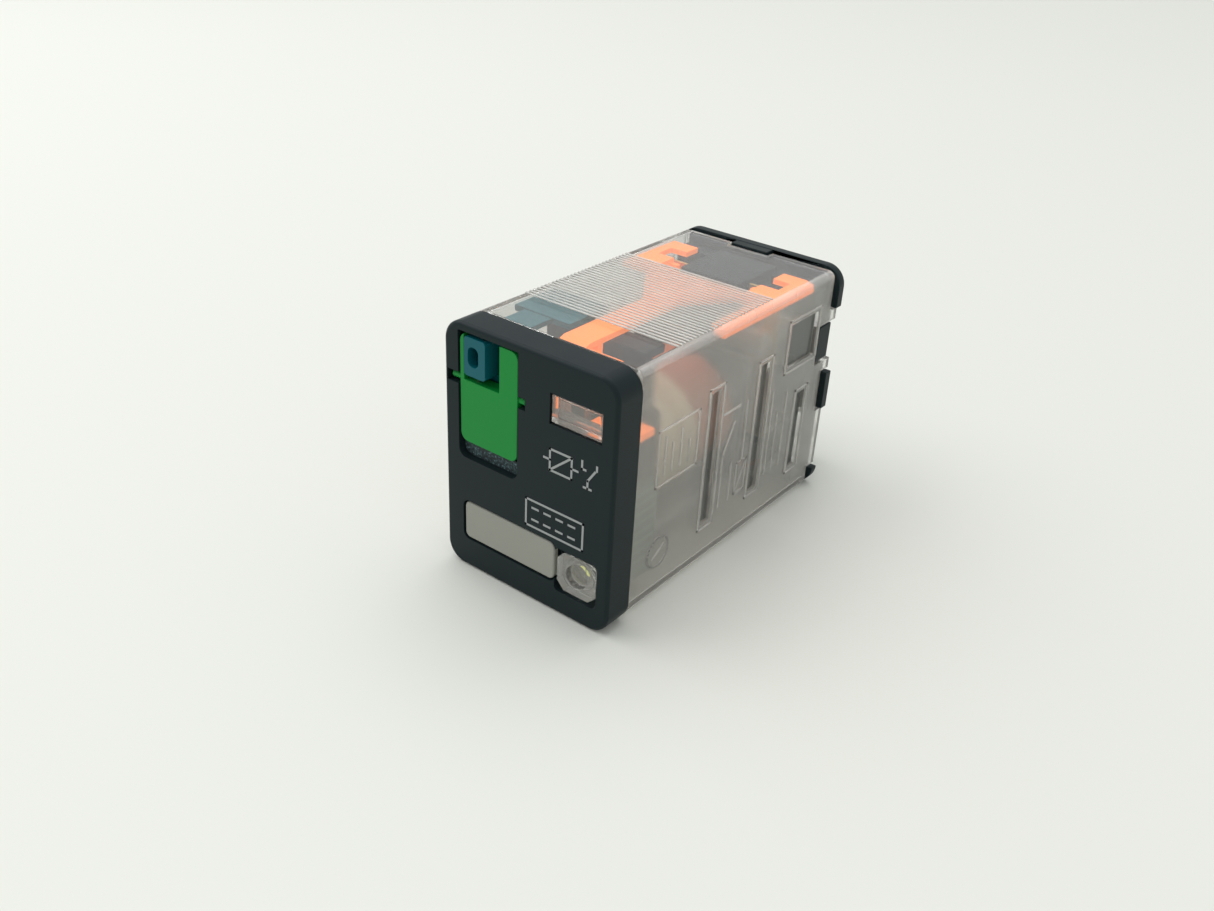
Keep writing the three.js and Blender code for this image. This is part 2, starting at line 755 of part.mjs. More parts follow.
// A thin lead from the rear flange of the bobbin down to a coil terminal.
function coilLead(side) {
  const wire = 0.4;
  const bobbinX = side * (flangeHalf - 0.6);
  const bladeX = side * (bladeInner + bladeWidth - 0.7);
  const onBlade = coilRow + bladeThickness / 2 + wire + seat;
  const path = new THREE.CatmullRomCurve3([
    new THREE.Vector3(bobbinX, bobbinRear + 0.1, coilZ - flangeHalf + 1.5),
    new THREE.Vector3(bobbinX, bobbinRear + 1.2, coilZ - flangeHalf + 1),
    new THREE.Vector3(bobbinX, yokeRearBack + 1, onBlade - wire + 0.95),
    new THREE.Vector3(bladeX, yokeRearBack + 2.6, onBlade),
    new THREE.Vector3(bladeX, yokeRearBack + 4, onBlade),
  ]);
  const ring = new THREE.Shape().absarc(0, 0, wire / 2, 0, 2 * Math.PI);
  return solid(new THREE.ExtrudeGeometry(ring, { steps: 10, extrudePath: path, curveSegments: 3 }));
}

// ---- Indicator flag: lies flat below the window at rest, swings up behind it ----
function indicatorFlag() {
  return join(
    pin(0.5, flagPivotDepth, flagPivotZ, flagLeft - 0.4, flagRight + 0.25),
    block([flagLeft, flagRight], [flagPivotDepth, flagPivotDepth + flagLength], [
      flagPivotZ - 0.35, flagPivotZ + 0.35,
    ]),
  );
}

// ---- Assembly ----
const relay = new THREE.Group();
relay.position.y = -totalDepth / 2;

function addPiece(name, body, surface) {
  const mesh = new THREE.Mesh(geometryOf(body), surface);
  mesh.name = name;
  relay.add(mesh);
}

addPiece("front_bezel", frontBezel(), slatePlastic);
addPiece("clear_cover", clearCover(), clearPlastic);
addPiece("base", base(), slatePlastic);
addPiece("lock_door", lockDoor(), greenPlastic);
addPiece("test_button", testButton(), tealPlastic);
addPiece("legend_plate", legendPlate(), greyPlastic);
addPiece("indicator_window", indicatorWindow(), lensPlastic);
addPiece("led_lens", ledLens(), lensPlastic);
addPiece("led_lamp", ledLamp(), lampEpoxy);
addPiece("led_board", ledBoard(), greenBoard);
addPiece("led_resistor", boardPart(0.5, 6.4, 8.8), tanCeramic);
addPiece("suppression_diode", boardPart(0.5, 9.6, 12.2), blackPlastic);
addPiece("coil_bobbin", coilBobbin(), blackPlastic);
addPiece(
  "coil_winding", coilSleeve(windingInner, windingOuter, windingFront + seat, windingRear - seat), copperWire,
);
addPiece(
  "coil_tape", coilSleeve(windingOuter + seat, coilRadius, windingFront + gap, windingFront + 8), creamTape,
);
addPiece("core", core(), dullSteel);
addPiece("yoke", yoke(), dullSteel);
addPiece("armature", armature(), dullSteel);
addPiece("armature_spring", armatureSpring(), springBrass);
addPiece("contact_card", contactCard(), orangePlastic);
addPiece("indicator_flag", indicatorFlag(), orangePlastic);
for (const [name, side] of [["left", -1], ["right", 1]]) {
  addPiece(`moving_spring_${name}`, movingLeaf(side), springBrass);
  addPiece(`moving_contact_${name}`, movingContact(side), silverAlloy);
  const x = side * leafX;
  addPiece(
    `nc_contact_${name}`, rod(contactRadius, x, contactZ, ncFace - contactHeight, ncFace, 20), silverAlloy,
  );
  addPiece(
    `no_contact_${name}`, rod(contactRadius, x, contactZ, noFace, noFace + contactHeight, 20), silverAlloy,
  );
  addPiece(`nc_blade_${name}`, ncTerminal(side), tinnedBrass);
  addPiece(`no_blade_${name}`, noTerminal(side), tinnedBrass);
  addPiece(`common_blade_${name}`, commonTerminal(side), tinnedBrass);
  addPiece(`coil_blade_${name}`, coilTerminal(side), tinnedBrass);
  addPiece(`coil_lead_${name}`, coilLead(side), copperWire);
}

export default relay;
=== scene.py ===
import math

import bmesh
import bpy
from bpy.props import FloatProperty, FloatVectorProperty, IntProperty, PointerProperty
from mathutils import Matrix, Vector


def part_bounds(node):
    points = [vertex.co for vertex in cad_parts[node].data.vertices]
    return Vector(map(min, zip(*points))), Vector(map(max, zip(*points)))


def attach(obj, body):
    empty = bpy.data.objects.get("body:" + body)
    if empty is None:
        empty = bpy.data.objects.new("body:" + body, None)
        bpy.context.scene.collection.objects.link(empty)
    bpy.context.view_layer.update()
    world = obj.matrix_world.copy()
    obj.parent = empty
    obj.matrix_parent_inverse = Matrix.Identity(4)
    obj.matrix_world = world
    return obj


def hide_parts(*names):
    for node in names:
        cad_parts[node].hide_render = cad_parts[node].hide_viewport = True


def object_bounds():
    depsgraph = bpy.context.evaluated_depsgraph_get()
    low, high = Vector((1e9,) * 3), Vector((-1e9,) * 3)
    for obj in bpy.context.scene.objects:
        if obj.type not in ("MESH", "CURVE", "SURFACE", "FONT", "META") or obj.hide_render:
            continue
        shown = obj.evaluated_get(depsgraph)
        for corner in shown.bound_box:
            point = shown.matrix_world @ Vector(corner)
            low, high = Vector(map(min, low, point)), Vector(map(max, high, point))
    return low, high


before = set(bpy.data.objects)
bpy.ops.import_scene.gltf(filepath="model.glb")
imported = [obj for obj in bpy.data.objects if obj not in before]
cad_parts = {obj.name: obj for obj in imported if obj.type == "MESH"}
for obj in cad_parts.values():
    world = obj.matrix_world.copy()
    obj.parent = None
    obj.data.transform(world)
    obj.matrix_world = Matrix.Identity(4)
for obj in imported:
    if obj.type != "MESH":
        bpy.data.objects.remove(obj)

CAD_LOW, CAD_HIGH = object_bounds()

bl_info = {
    "name": "Plug-in relay looks",
    "version": (1, 0, 0),
    "blender": (4, 5, 0),
    "location": "3D View > Sidebar > Relay",
    "description": "Surfaces and fine shapes of a plug-in control relay with a clear cover",
    "category": "Object",
}

MM = 0.001
FRONT = CAD_LOW.y
LEAST_RADIUS = 1e-5


# ---------------------------------------------------------------- settings

def colour(name, description, default):
    return FloatVectorProperty(
        name=name, description=description, subtype="COLOR", size=3, min=0, max=1, default=default,
    )


def length(name, description, default_mm):
    return FloatProperty(
        name=name, description=description, subtype="DISTANCE", unit="LENGTH", min=0, default=default_mm * MM,
    )


class RelaySizes(bpy.types.PropertyGroup):
    """Fine sizes that the frame leaves open."""

    bezel_fillet: length("Bezel fillet", "Rounding of the bezel's front rim", 0.42)
    bezel_corner: length("Bezel corner", "Radius of the bezel's four corners", 2.2)
    edge_round: length("Edge rounding", "Rounding of small plastic edges", 0.12)
    cover_corner: length("Cover corner", "Radius along the cover's long edges", 0.9)
    cover_wall: length("Cover wall", "Thickness of the clear wall", 0.8)
    rib_count: IntProperty(name="Ribs", description="Fine ribs across the top", min=1, default=29)
    rib_height: length("Rib height", "How far a grip rib stands up", 0.16)
    wire: length("Winding wire", "Diameter of the coil's wire", 0.32)
    mark_stroke: length("Mark stroke", "Width of a moulded line", 0.22)


class RelayColours(bpy.types.PropertyGroup):
    """Base colours, linear."""

    slate: colour("Slate", "Bezel and base plastic", (0.010, 0.018, 0.020))
    green: colour("Green", "Lock door plastic", (0.003, 0.225, 0.034))
    teal: colour("Teal", "Test button plastic", (0.002, 0.100, 0.125))
    legend: colour("Legend grey", "Legend plate", (0.300, 0.305, 0.270))
    ink: colour("Print grey", "Printed marks", (0.330, 0.350, 0.350))
    orange: colour("Orange", "Contact card and flag", (1.000, 0.215, 0.022))
    clear: colour("Clear plastic", "Cover and lenses", (0.930, 0.940, 0.920))
    haze: colour("Haze", "Milky surface of the cover", (0.700, 0.680, 0.630))
    floor: colour("Floor", "Plain floor", (0.670, 0.687, 0.643))


def sizes():
    return bpy.context.scene.relay_sizes


def colours():
    return bpy.context.scene.relay_colours


# ---------------------------------------------------------------- shader maths

def add_node(tree, kind, settings=None, inputs=None):
    """A node of any kind: its settings first, then its sockets' values or links."""
    made = tree.nodes.new(kind)
    for name, setting in (settings or {}).items():
        if name == "stops":
            while len(made.color_ramp.elements) < len(setting):
                made.color_ramp.elements.new(0.5)
            for element, (position, shade) in zip(made.color_ramp.elements, setting):
                element.position = position
                element.color = shade
        else:
            setattr(made, name, setting)
    for name, given in (inputs or {}).items():
        if isinstance(given, Value):
            tree.links.new(given.socket, made.inputs[name])
        else:
            made.inputs[name].default_value = given
    return made


class Value:
    """A node socket that takes Python's own operators."""

    def __init__(self, tree, socket):
        self.tree = tree
        self.socket = socket

    def maths(self, operation, *terms):
        node = add_node(self.tree, "ShaderNodeMath", {"operation": operation}, dict(enumerate(terms)))
        return Value(self.tree, node.outputs[0])

    def __add__(self, other):
        return self.maths("ADD", self, other)

    def __radd__(self, other):
        return self.maths("ADD", other, self)

    def __sub__(self, other):
        return self.maths("SUBTRACT", self, other)

    def __rsub__(self, other):
        return self.maths("SUBTRACT", other, self)

    def __mul__(self, other):
        return self.maths("MULTIPLY", self, other)

    def __rmul__(self, other):
        return self.maths("MULTIPLY", other, self)

    def __truediv__(self, other):
        return self.maths("DIVIDE", self, other)

    def __rtruediv__(self, other):
        return self.maths("DIVIDE", other, self)

    def __gt__(self, other):
        return self.maths("GREATER_THAN", self, other)

    def __lt__(self, other):
        return self.maths("LESS_THAN", self, other)

    def __abs__(self):
        return self.maths("ABSOLUTE", self)

    def folded(self, span):
        return self.maths("PINGPONG", self, span)


class Recipe:
    """One material and the nodes it is made of."""

    def __init__(self, name):
        self.material = bpy.data.materials.new(name)
        self.material.use_nodes = True
        self.tree = self.material.node_tree
        self.tree.nodes.clear()
        self.place = self.node("ShaderNodeTexCoord", output="Object")

    def node(self, kind, settings=None, inputs=None, output=0):
        return Value(self.tree, add_node(self.tree, kind, settings, inputs).outputs[output])

    def axes(self):
        node = add_node(self.tree, "ShaderNodeSeparateXYZ", None, {0: self.place})
        return [Value(self.tree, out) for out in node.outputs]

    def noise(self, scale, detail=2.0, roughness=0.5):
        return self.node("ShaderNodeTexNoise", {"noise_dimensions": "3D"}, {
            "Vector": self.place, "Scale": scale, "Detail": detail, "Roughness": roughness,
        })

    def spread(self, value, low, high, to_low, to_high):
        return self.node("ShaderNodeMapRange", {"clamp": True}, {
            "Value": value, "From Min": low, "From Max": high, "To Min": to_low, "To Max": to_high,
        })

    def mix(self, factor, first, second):
        return self.node("ShaderNodeMix", {"data_type": "RGBA"}, {0: factor, 6: first, 7: second}, 2)

    def bump(self, height, strength, distance):
        return self.node("ShaderNodeBump", None, {
            "Height": height, "Strength": strength, "Distance": distance,
        })

    def principled(self, **inputs):
        return self.node("ShaderNodeBsdfPrincipled", None, {
            name.replace("_", " "): given for name, given in inputs.items()
        })

    def output(self, shader):
        add_node(self.tree, "ShaderNodeOutputMaterial", None, {"Surface": shader})
        return self.material


def rgba(shade, share=1.0):
    return (shade[0] * share, shade[1] * share, shade[2] * share, 1.0)


# ---------------------------------------------------------------- materials

MATERIALS = {}


def material(name):
    """The material of that name, made the first time it is asked for."""
    if name not in MATERIALS:
        MATERIALS[name] = MAKERS[name]()
    return MATERIALS[name]


def moulded_plastic(name, shade, roughness=0.42, grain=9000.0, depth=0.004, variation=0.06, coat=0.0):
    """Injection moulded plastic: fine spark-eroded grain and slightly uneven shine."""
    recipe = Recipe(name)
    grain_noise = recipe.noise(grain, 3.0, 0.6)
    cloud = recipe.noise(160.0, 3.0)
    base = recipe.mix(cloud, rgba(shade, 1 - variation), rgba(shade, 1 + variation))
    return recipe.output(recipe.principled(
        Base_Color=base,
        Roughness=recipe.spread(cloud + grain_noise * 0.3, 0.3, 1.0, roughness - 0.06, roughness + 0.08),
        Normal=recipe.bump(grain_noise, 0.35, depth * MM),
        Specular_IOR_Level=0.13,
        Coat_Weight=coat,
        Coat_Roughness=0.25,
    ))


def slate_plastic():
    return moulded_plastic("slate_plastic", colours().slate, 0.40, 7000.0, 0.006, 0.05)


def slate_ledge():
    """The rough, eroded ledge under the door: its speckle is the eroded grain, and its pale specks are
    painted light that lifts the ledge out of its shade.
    """
    recipe = Recipe("slate_ledge")
    specks = recipe.noise(4200.0, 4.0, 0.7)
    slate = colours().slate
    # Pale stops up to sixteen times the slate are painted light on the shaded ledge.
    lit = recipe.node("ShaderNodeValToRGB", {"stops": [
        (0.42, rgba(slate, 0.8)), (0.56, rgba(slate, 3.5)), (0.68, rgba(slate, 16.0)),
    ]}, {"Fac": specks})
    return recipe.output(recipe.principled(
        Base_Color=lit, Roughness=recipe.spread(specks, 0.3, 0.7, 0.55, 0.85),
        Normal=recipe.bump(specks, 0.8, 0.05 * MM),
    ))


def green_plastic():
    return moulded_plastic("green_plastic", colours().green, 0.36, 6000.0, 0.004, 0.05, 0.15)


def teal_plastic():
    return moulded_plastic("teal_plastic", colours().teal, 0.36, 6000.0, 0.004, 0.08, 0.15)


def legend_plastic():
    return moulded_plastic("legend_plastic", colours().legend, 0.55, 5000.0, 0.006, 0.03)


def printed_ink():
    return moulded_plastic("printed_ink", colours().ink, 0.6, 9000.0, 0.002, 0.05)


def orange_plastic():
    """Fluorescent orange with a painted glow: an emission in its own colour makes it shine though it is no
    lamp.
    """
    recipe = Recipe("orange_plastic")
    cloud = recipe.noise(220.0, 3.0)
    base = recipe.mix(cloud, rgba(colours().orange, 0.9), rgba(colours().orange, 1.0))
    return recipe.output(recipe.principled(
        Base_Color=base, Roughness=recipe.spread(cloud, 0.3, 0.7, 0.35, 0.5),
        # Painted glow: the emission lights the orange whatever lamps reach it.
        Emission_Color=base, Emission_Strength=0.75,
        Normal=recipe.bump(recipe.noise(5000.0), 0.25, 0.004 * MM),
    ))


def black_plastic():
    # Black plastic of the bobbin and diode, also used as painted shade in the test button's eye hole.
    return moulded_plastic("black_plastic", (0.020, 0.021, 0.022), 0.45, 5000.0, 0.006, 0.1)


def see_through(name, haze_share, roughness, ripple=0.05, tint=None, haze=None):
    """Clear plastic that lamps shine through, with a milky share of plain surface."""
    recipe = Recipe(name)
    cloud = recipe.noise(120.0, 2.0)
    normal = recipe.bump(recipe.noise(420.0, 2.0), ripple, 0.05 * MM)
    clear = recipe.principled(
        Base_Color=rgba(tint or colours().clear), Transmission_Weight=1.0, IOR=1.46,
        Roughness=recipe.spread(cloud, 0.3, 0.7, roughness * 0.85, roughness * 1.15), Normal=normal,
    )
    shade = haze or colours().haze
    milky = recipe.principled(
        Base_Color=recipe.mix(cloud, rgba(shade, 0.92), rgba(shade, 1.06)),
        Roughness=recipe.spread(cloud, 0.3, 0.7, 0.3, 0.45), Normal=normal,
    )
    share = recipe.spread(cloud, 0.25, 0.75, haze_share * 0.8, haze_share * 1.2)
    body = recipe.node("ShaderNodeMixShader", None, {0: share, 1: clear, 2: milky})
    lamp_ray = recipe.node("ShaderNodeLightPath", output="Is Shadow Ray")
    free = recipe.node("ShaderNodeBsdfTransparent", None, {"Color": (0.93, 0.93, 0.92, 1.0)})
    return recipe.output(recipe.node("ShaderNodeMixShader", None, {0: lamp_ray, 1: body, 2: free}))


def frosted_wall():
    return see_through("frosted_wall", 0.19, 0.15)


def clear_top():
    return see_through("clear_top", 0.02, 0.03, 0.02)


def rib_plastic():
    return see_through("rib_plastic", 0.50, 0.18, haze=(0.66, 0.66, 0.63))


def milky_mark_and_highlight():
    # Milky surface of the raised side marks, also used as painted highlight on the cover's long edges and
    # round the lens.
    return see_through("milky_mark_and_highlight", 0.27, 0.20, haze=(0.86, 0.85, 0.82))


def groove_painted_shade():
    """Groove floors, smooth, with painted shade: a dark milky share stands in for the shaded inside seen
    through them.
    """
    return see_through("groove_painted_shade", 0.50, 0.06, 0.02, haze=(0.095, 0.105, 0.100))


def polished_plastic():
    return see_through("polished_plastic", 0.15, 0.03, 0.0, haze=(0.66, 0.62, 0.58))


def lens_plastic():
    return see_through("lens_plastic", 0.10, 0.03, 0.0, haze=(0.92, 0.91, 0.89))


def lamp_epoxy():
    return see_through("lamp_epoxy", 0.10, 0.05, tint=(0.95, 0.96, 0.90), haze=(0.80, 0.82, 0.70))


def metal(name, shade, roughness, brushed=900.0, metallic=1.0):
    """Rolled or plated metal with fine streaks and dull patches."""
    recipe = Recipe(name)
    streak = recipe.noise(brushed, 4.0, 0.65)
    cloud = recipe.noise(250.0, 3.0)
    base = recipe.mix(cloud, rgba(shade, 0.8), rgba(shade, 1.0))
    return recipe.output(recipe.principled(
        Base_Color=base, Metallic=metallic,
        Roughness=recipe.spread(streak, 0.3, 0.7, roughness - 0.08, roughness + 0.12),
        Normal=recipe.bump(streak, 0.10, 0.003 * MM),
    ))


def copper_enamel():
    return metal("copper_enamel", (0.60, 0.20, 0.09), 0.35, 1500.0, 0.85)


def dull_steel():
    return metal("dull_steel", (0.30, 0.31, 0.31), 0.42)


def spring_brass():
    return metal("spring_brass", (0.68, 0.46, 0.16), 0.32)


def tinned_brass():
    return metal("tinned_brass", (0.56, 0.56, 0.54), 0.36)


def silver_alloy():
    return metal("silver_alloy", (0.80, 0.80, 0.78), 0.22)


def cream_tape():
    """Wound polyester tape, with its overlaps as faint bands."""
    recipe = Recipe("cream_tape")
    band = recipe.node("ShaderNodeTexWave", {"wave_type": "BANDS", "bands_direction": "Y"}, {
        "Vector": recipe.place, "Scale": 90.0, "Distortion": 1.5,
    }, 1)
    base = recipe.mix(band, (0.60, 0.50, 0.34, 1.0), (0.70, 0.62, 0.45, 1.0))
    return recipe.output(recipe.principled(
        Base_Color=base, Roughness=recipe.spread(band, 0, 1, 0.45, 0.65),
        Normal=recipe.bump(band, 0.3, 0.02 * MM),
    ))


def circuit_board():
    """Green solder mask with paler copper tracks under it."""
    recipe = Recipe("circuit_board")
    height = recipe.axes()[2]
    pitch, half_width = 1.1, 0.18
    track = abs((height / MM).folded(pitch) - pitch / 2) < half_width
    base = recipe.mix(track, (0.020, 0.085, 0.048, 1.0), (0.060, 0.190, 0.095, 1.0))
    return recipe.output(recipe.principled(
        Base_Color=base, Roughness=recipe.spread(track, 0, 1, 0.35, 0.28), Coat_Weight=0.4,
        Normal=recipe.bump(track, 0.4, 0.03 * MM),
    ))


def tan_ceramic():
    """Resistor body with colour rings."""
    recipe = Recipe("tan_ceramic")
    low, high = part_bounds("led_resistor")
    along = (recipe.axes()[2] - low.z) / (high.z - low.z)
    tan, green = (0.50, 0.34, 0.16, 1), (0.02, 0.09, 0.02, 1)
    red, brown = (0.25, 0.03, 0.02, 1), (0.30, 0.12, 0.01, 1)
    rings = recipe.node("ShaderNodeValToRGB", {"stops": [
        (0.0, tan), (0.22, green), (0.32, tan), (0.44, red), (0.54, tan), (0.66, brown), (0.76, tan),
    ]}, {"Fac": along})
    return recipe.output(recipe.principled(
        Base_Color=rings, Roughness=0.45, Normal=recipe.bump(recipe.noise(3000.0), 0.3, 0.01 * MM),
    ))


def lamp_chip():
    recipe = Recipe("lamp_chip")
    speck = recipe.noise(2500.0, 2.0)
    base = recipe.mix(speck, (0.55, 0.60, 0.12, 1.0), (0.80, 0.80, 0.25, 1.0))
    return recipe.output(recipe.principled(
        # Painted glow: the emission brightens the chips by itself, whatever the lighting.
        Base_Color=base, Roughness=recipe.spread(speck, 0.3, 0.7, 0.3, 0.5), Emission_Color=base,
        Emission_Strength=0.7,
    ))


def floor_paint():
    recipe = Recipe("floor_paint")
    cloud = recipe.noise(6.0, 3.0)
    base = recipe.mix(cloud, rgba(colours().floor, 0.985), rgba(colours().floor, 1.0))
    return recipe.output(recipe.principled(Base_Color=base, Roughness=0.7))


MAKERS = {
    maker.__name__: maker for maker in (
        slate_plastic, slate_ledge, green_plastic, teal_plastic, legend_plastic, printed_ink,
        orange_plastic, black_plastic, frosted_wall, clear_top, rib_plastic, milky_mark_and_highlight, groove_painted_shade,
        polished_plastic, lens_plastic, lamp_epoxy, copper_enamel, dull_steel, spring_brass, tinned_brass,
        silver_alloy, cream_tape, circuit_board, tan_ceramic, lamp_chip, floor_paint,
    )
}


# ---------------------------------------------------------------- mesh code

def new_piece(name, mesh):
    piece = bpy.data.objects.new(name, mesh)
    bpy.context.scene.collection.objects.link(piece)
    return piece


def from_bmesh(name, bm):
    mesh = bpy.data.meshes.new(name)
    bm.to_mesh(mesh)
    bm.free()
    return new_piece(name, mesh)


def ring(box, radius, depth, steps=10):
    """A rounded rectangle across the relay at one depth: box is (x0, x1, z0, z1)."""
    x0, x1, z0, z1 = box
    radius = max(radius, 1e-6)
    corners = [(x1 - radius, z0 + radius, -90), (x1 - radius, z1 - radius, 0),
               (x0 + radius, z1 - radius, 90), (x0 + radius, z0 + radius, 180)]
    points = []
    for cx, cz, start in corners:
        for step in range(steps + 1):
            angle = math.radians(start + 90 * step / steps)
            points.append(Vector((cx + radius * math.cos(angle), depth, cz + radius * math.sin(angle))))
    return points


def loft(name, rings):
    """Skins rings of equal length and closes both ends."""
    bm = bmesh.new()
    loops = [[bm.verts.new(point) for point in points] for points in rings]
    for first, second in zip(loops, loops[1:]):
        for i, corner in enumerate(first):
            j = (i + 1) % len(first)
            bm.faces.new((corner, first[j], second[j], second[i]))
    bm.faces.new(loops[0][::-1])
    bm.faces.new(loops[-1])
    bmesh.ops.recalc_face_normals(bm, faces=bm.faces)
    return from_bmesh(name, bm)


def shrunk(box, amount):
    x0, x1, z0, z1 = box
    return (x0 + amount, x1 - amount, z0 + amount, z1 - amount)


def pillow(name, box, radius, front, back, front_fillet=0.0, back_fillet=0.0, steps=10, turns=5):
    """A block with rounded corners, and fillets at its front and back rims."""
    rings = []
    for turn in range(turns if front_fillet else 0):
        angle = math.radians(90 * turn / turns)
        inset = front_fillet * (1 - math.sin(angle))
        depth = front + front_fillet * (1 - math.cos(angle))
        rings.append(ring(shrunk(box, inset), max(radius - inset, LEAST_RADIUS), depth, steps))
    rings.append(ring(box, radius, front + front_fillet, steps))
    rings.append(ring(box, radius, back - back_fillet, steps))
    for turn in range(1, turns + 1 if back_fillet else 0):
        angle = math.radians(90 * turn / turns)
        inset = back_fillet * (1 - math.cos(angle))
        depth = back - back_fillet * (1 - math.sin(angle))
        rings.append(ring(shrunk(box, inset), max(radius - inset, LEAST_RADIUS), depth, steps))
    return loft(name, rings)


def block(name, x, y, z):
    return loft(name, [ring((x[0], x[1], z[0], z[1]), 0, depth, 1) for depth in y])


def rod(name, x, z, radius, front, back, steps=40):
    angles = [2 * math.pi * i / steps for i in range(steps)]
    return loft(name, [
        [Vector((x + radius * math.cos(a), depth, z + radius * math.sin(a))) for a in angles]
        for depth in (front, back)
    ])


def baked(piece):
    """The piece with its modifiers applied, as a plain mesh."""
    bpy.context.view_layer.update()
    graph = bpy.context.evaluated_depsgraph_get()
    mesh = bpy.data.meshes.new_from_object(piece.evaluated_get(graph))
    old = piece.data
    piece.modifiers.clear()
    piece.data = mesh
    bpy.data.meshes.remove(old)
    return piece


def combine(piece, others, operation):
    for other in others:
        modifier = piece.modifiers.new("shape", "BOOLEAN")
        modifier.operation = operation
        modifier.solver = "EXACT"
        modifier.object = other
    baked(piece)
    for other in others:
        bpy.data.objects.remove(other)
    return piece


def carve(piece, *tools):
    return combine(piece, tools, "DIFFERENCE")


def weld(piece, *others):
    return combine(piece, others, "UNION")


def soften(piece, width, segments=3, angle=35.0, shade=32.0):
    """Rounds sharp edges and shades the rest smooth."""
    bm = bmesh.new()
    bm.from_mesh(piece.data)
    bmesh.ops.remove_doubles(bm, verts=bm.verts, dist=2e-6)
    bmesh.ops.dissolve_limit(
        bm, angle_limit=math.radians(0.6), verts=bm.verts, edges=bm.edges, delimit={"MATERIAL"},
    )
    bm.to_mesh(piece.data)
    bm.free()
    if width:
        bevel = piece.modifiers.new("edges", "BEVEL")
        bevel.width = width
        bevel.segments = segments
        bevel.limit_method = "ANGLE"
        bevel.angle_limit = math.radians(angle)
        bevel.use_clamp_overlap = True
        bevel.miter_outer = "MITER_ARC"
        baked(piece)
    piece.data.shade_smooth()
    piece.data.set_sharp_from_angle(angle=math.radians(shade))
    flatten = piece.modifiers.new("flat faces", "WEIGHTED_NORMAL")
    flatten.keep_sharp = True
    return baked(piece)


def place(piece, body, surface, slot, *nodes):
    """Gives a finished piece its surface, its body and the nodes it stands for."""
    if surface:
        piece.data.materials.clear()
        piece.data.materials.append(material(surface))
    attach(piece, body)
    if nodes:
        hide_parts(*nodes)
    return piece


def refined(node, body, surface, slot, width, segments=2):
    """A CAD node with its edges rounded, kept inside the node's own box."""
    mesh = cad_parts[node].data.copy()
    mesh.materials.clear()
    piece = new_piece(node + "_fine", mesh)
    soften(piece, width * MM, segments)
    low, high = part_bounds(node)
    for vertex in piece.data.vertices:
        vertex.co = Vector(min(max(c, a), b) for c, a, b in zip(vertex.co, low, high))
    return place(piece, body, surface, slot, node)


def paint(piece, surface, wanted):
    """A second surface on the faces whose middle is wanted."""
    piece.data.materials.append(material(surface))
    index = len(piece.data.materials) - 1
    for face in piece.data.polygons:
        if wanted(face.center, face.normal):
            face.material_index = index


def strokes(name, lines, width, low, high, across="front"):
    """Raised lines on a front or side face: each line is a list of (along, z) points."""
    def at(u, v, lift):
        return Vector((u, lift, v)) if across == "front" else Vector((lift, u, v))

    bm = bmesh.new()
    for line in lines:
        for (u0, v0), (u1, v1) in zip(line, line[1:]):
            run = Vector((u1 - u0, v1 - v0)).normalized() * width / 2
            side = Vector((-run.y, run.x))
            start, end = Vector((u0, v0)) - run, Vector((u1, v1)) + run
            flat = [start + side, start - side, end - side, end + side]
            bottom = [bm.verts.new(at(p.x, p.y, low)) for p in flat]
            lid = [bm.verts.new(at(p.x, p.y, high)) for p in flat]
            bm.faces.new(bottom)
            bm.faces.new(lid[::-1])
            for i in range(4):
                j = (i + 1) % 4
                bm.faces.new((bottom[j], bottom[i], lid[i], lid[j]))
    bmesh.ops.recalc_face_normals(bm, faces=bm.faces)
    return from_bmesh(name, bm)


def arc(x, z, radius, start=0.0, end=360.0, steps=24):
    return [
        (x + radius * math.cos(math.radians(start + (end - start) * i / steps)),
         z + radius * math.sin(math.radians(start + (end - start) * i / steps)))
        for i in range(steps + 1)
    ]


def outline(x0, x1, z0, z1):
    return [(x0, z0), (x1, z0), (x1, z1), (x0, z1), (x0, z0)]


def scaled(lines):
    return [[(u * MM, v * MM) for u, v in line] for line in lines]


def deep(value):
    """A depth behind the front face, in millimetres, as a Y coordinate."""
    return FRONT + value * MM


def part_box(x0, x1, z0, z1):
    return (x0 * MM, x1 * MM, z0 * MM, z1 * MM)


def cutter(x, d, z):
    """A plain box tool, in millimetres: x, depth and z ranges."""
    return block("cutter", (x[0] * MM, x[1] * MM), (deep(d[0]), deep(d[1])), (z[0] * MM, z[1] * MM))


def round_cutter(box, radius, d):
    return pillow("cutter", part_box(*box), radius * MM, deep(d[0]), deep(d[1]), steps=6)


# ---------------------------------------------------------------- geometry nodes

